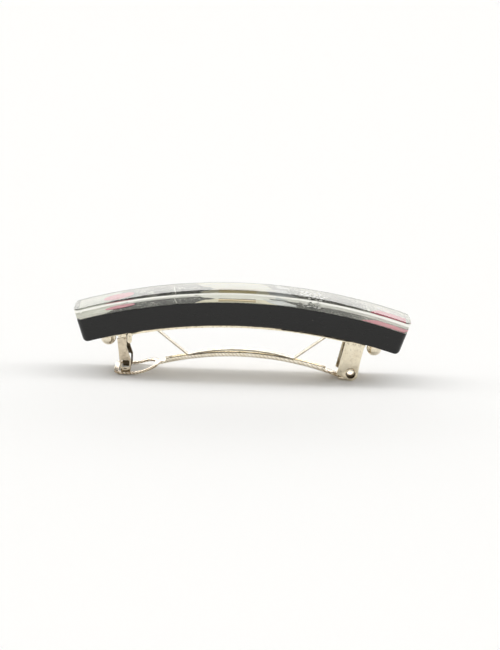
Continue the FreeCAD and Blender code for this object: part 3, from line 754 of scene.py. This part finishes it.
def spring_piece(material):
    """Bowed leaf: straight struts down from the plate's slots to the knees, and a bow between."""
    low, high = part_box("tension_spring")
    centre_z = UNDERSIDE - BOW_DEPTH - BOW_RADIUS

    def on_bow(x):
        return Vector((x, 0, centre_z + math.sqrt(BOW_RADIUS ** 2 - x ** 2)))

    steps = 40
    bow = [on_bow(mix(-KNEE_X, KNEE_X, i / steps)) for i in range(steps + 1)]
    foot_x = high.x - LEAF_THICK / 2
    foot_z = high.z - LEAF_THICK / 2
    left = Vector((-foot_x, 0, foot_z))
    right = Vector((foot_x, 0, foot_z))
    knee_left = polyline_round([left, on_bow(-KNEE_X), bow[3]], KNEE_ROUND)
    knee_right = polyline_round([bow[-4], on_bow(KNEE_X), right], KNEE_ROUND)
    path = knee_left[:-1] + bow[3:-3] + knee_right[1:]
    bm = bmesh.new()
    sweep(bm, path, strip_section(high.y, LEAF_THICK))
    piece = finish_piece("tension_spring_leaf", bm, material, "root", ["tension_spring"], 50)
    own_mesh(piece)
    return piece


def soften(node, width):
    """Keep a CAD piece and round its edges."""
    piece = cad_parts[node]
    weld = piece.modifiers.new("weld", "WELD")
    weld.merge_threshold = 0.001 * MM
    bevel = piece.modifiers.new("edges", "BEVEL")
    bevel.width = width * MM
    bevel.segments = 2
    bevel.limit_method = "ANGLE"
    bevel.angle_limit = math.radians(40)
    bevel.harden_normals = True
    piece.data.polygons.foreach_set("use_smooth", [True] * len(piece.data.polygons))
    return piece


def clip_pieces():
    bright = (0.90, 0.82, 0.645)
    dull = (0.80, 0.705, 0.53)
    plate = metal("pale_gold_plate", bright, dull, 0.3, inside=0.3)
    pin_low, pin_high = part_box("hinge_pin")
    pin_middle = (pin_low + pin_high) / 2 / MM
    bore = (pin_middle.x, pin_middle.z, PIN_BORE)
    pin = metal("pale_gold_pin", dull, (0.55, 0.46, 0.33), 0.3, bore=bore)
    rivet = metal("pale_gold_rivet", (0.88, 0.80, 0.65), (0.78, 0.69, 0.52), 0.08)
    # the catch legs take darker tones of the plating than the plate: painted shade under the bar's end
    catch = metal("pale_gold_catch_shaded", (0.70, 0.61, 0.47), (0.50, 0.42, 0.31), 0.6, inside=0.9)
    arm_steel = metal("pale_gold_arm", (0.94, 0.88, 0.75), (0.86, 0.78, 0.62), 0.1, hatch=0.9)
    leaf_steel = metal("worn_spring_steel", (0.66, 0.61, 0.50), (0.50, 0.45, 0.35), 0.2)
    for node, width, material in (("base_plate", 0.05, plate), ("catch_bracket", 0.05, plate),
                                  ("catch_leg_near", 0.05, catch), ("catch_leg_far", 0.05, catch),
                                  ("hinge_pin", 0.03, pin), ("rivet_catch_end", 0.03, rivet),
                                  ("rivet_hinge_end", 0.03, rivet), ("arm", 0.07, arm_steel)):
        piece = soften(node, width)
        piece.data.materials.clear()
        piece.data.materials.append(material)
    spring_piece(leaf_steel)


# ---- stage --------------------------------------------------------------------------

def floor():
    """Pale floor through the lowest points of the catch legs and of the hinge ears."""
    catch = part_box("catch_leg_near")
    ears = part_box("hinge_pin")
    catch_x = (catch[0].x + catch[1].x) / 2
    hinge_x = (ears[0].x + ears[1].x) / 2
    catch_z = catch[0].z
    hinge_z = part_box("base_plate")[0].z
    slope = (hinge_z - catch_z) / (hinge_x - catch_x)
    places = [mix(-FLOOR_REACH, FLOOR_REACH, i / FLOOR_STEPS) for i in range(FLOOR_STEPS + 1)]
    bm = bmesh.new()
    grid = [[bm.verts.new((x, y, catch_z + (x - catch_x) * slope)) for y in places] for x in places]
    for this, following in zip(grid, grid[1:]):
        for j in range(FLOOR_STEPS):
            bm.faces.new((this[j], following[j], following[j + 1], this[j + 1]))
    mesh = bpy.data.meshes.new("floor")
    bm.to_mesh(mesh)
    bm.free()
    material = bpy.data.materials.new("pale_floor")
    s = Shader(material)
    s.principled(Base_Color=(0.975, 0.975, 0.97, 1), Roughness=0.9, Specular_IOR_Level=0.0)
    mesh.materials.append(material)
    plane = bpy.data.objects.new("floor", mesh)
    bpy.context.scene.collection.objects.link(plane)
    follow_arm(plane)


def follow_arm(plane):
    """Lower the floor with the arm's tip, so that the opened arm stands on it instead of under it."""
    tip = bpy.data.objects.new("arm_tip_marker", None)
    bpy.context.scene.collection.objects.link(tip)
    tip.location = (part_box("arm")[0].x, 0, 0)
    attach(tip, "arm")
    follow = plane.constraints.new("COPY_LOCATION")
    follow.target = tip
    follow.use_x = False
    follow.use_y = False


def studio():
    """White surround: a soft strip overhead, a bright low panel behind that ends sharply, a dim front.

    The camera itself sees plain white.
    """
    world = bpy.data.worlds.new("studio")
    bpy.context.scene.world = world
    s = Shader(world)
    direction = s.add("ShaderNodeTexCoord").outputs["Generated"]
    path = s.add("ShaderNodeLightPath").outputs
    x, y, z = s.add("ShaderNodeSeparateXYZ", inputs={0: direction}).outputs
    panel_low = PANEL_TOP - PANEL_EDGE
    panel_high = PANEL_TOP + PANEL_EDGE
    front = s.math("MULTIPLY", s.step(y, 0.1, -0.4), s.step(z, 0.1, 0.3))
    rear_gap = s.math("MULTIPLY", s.step(y, 0.35, 0.6), s.step(z, panel_low, panel_high))
    shade = s.math("MAXIMUM", s.math("MULTIPLY", front, 0.8), s.math("MULTIPLY", rear_gap, 0.8))
    ambient = s.math("SUBTRACT", 1.0, shade)
    off_strip = s.math("SUBTRACT", s.math("MULTIPLY", y, math.cos(STRIP_TILT)),
                       s.math("MULTIPLY", z, math.sin(STRIP_TILT)))
    strip = s.math("MULTIPLY", s.step(s.math("ABSOLUTE", off_strip), 0.12, 0.03), s.step(z, 0.1, 0.3))
    panel = s.math("MULTIPLY", s.step(y, 0.5, 0.7), s.step(z, panel_high, panel_low))
    panel_light = s.math("ADD", s.math("MULTIPLY", z, 4.3), 0.4)
    dimmed = s.math("SUBTRACT", 1.0, s.math("MULTIPLY", path["Is Diffuse Ray"], 0.75))
    panel_light = s.math("MULTIPLY", panel_light, dimmed)

    def scaled(colour, strength):
        return s.add("ShaderNodeVectorMath", operation="SCALE",
                     inputs={0: colour, "Scale": strength}).outputs[0]

    def total(a, b):
        return s.add("ShaderNodeVectorMath", operation="ADD", inputs={0: a, 1: b}).outputs[0]

    light = total(scaled(FILL_COLOUR, ambient), scaled(STRIP_COLOUR, strip))
    light = total(light, scaled(PANEL_COLOUR, s.math("MULTIPLY", panel, panel_light)))
    lit = s.add("ShaderNodeBackground", inputs={"Color": light, "Strength": 1.0}).outputs[0]
    plain = s.add("ShaderNodeBackground", inputs={"Color": (1, 1, 1, 1), "Strength": 1.05}).outputs[0]
    both = s.add("ShaderNodeMixShader", inputs={0: path["Is Camera Ray"], 1: lit, 2: plain})
    s.output(both.outputs[0], "ShaderNodeOutputWorld")


def camera():
    """Camera in front of the near long side, looking slightly down on the middle of the bar's underside."""
    back = Vector((0, -math.cos(CAMERA_ELEVATION), math.sin(CAMERA_ELEVATION)))
    right = Vector((1, 0, 0))
    up = back.cross(right)
    rolled_right = right * math.cos(CAMERA_ROLL) + up * math.sin(CAMERA_ROLL)
    rolled_up = up * math.cos(CAMERA_ROLL) - right * math.sin(CAMERA_ROLL)
    turn = Matrix.Rotation(-CAMERA_LEAN, 3, "Y")
    axes = Matrix([turn @ rolled_right, turn @ rolled_up, turn @ back]).transposed()
    data = bpy.data.cameras.new("camera")
    data.lens = CAMERA_LENS
    data.shift_x, data.shift_y = CAMERA_SHIFT
    data.clip_start = 0.01
    data.clip_end = 50
    item = bpy.data.objects.new("camera", data)
    target = Vector((0, 0, UNDERSIDE))
    item.matrix_world = Matrix.Translation(target + turn @ back * CAMERA_DISTANCE) @ axes.to_4x4()
    bpy.context.scene.collection.objects.link(item)
    bpy.context.scene.camera = item


def colour_management():
    view = bpy.context.scene.view_settings
    view.view_transform = "Standard"
    view.look = "None"


bar_pieces()
clip_pieces()
floor()
studio()
camera()
colour_management()
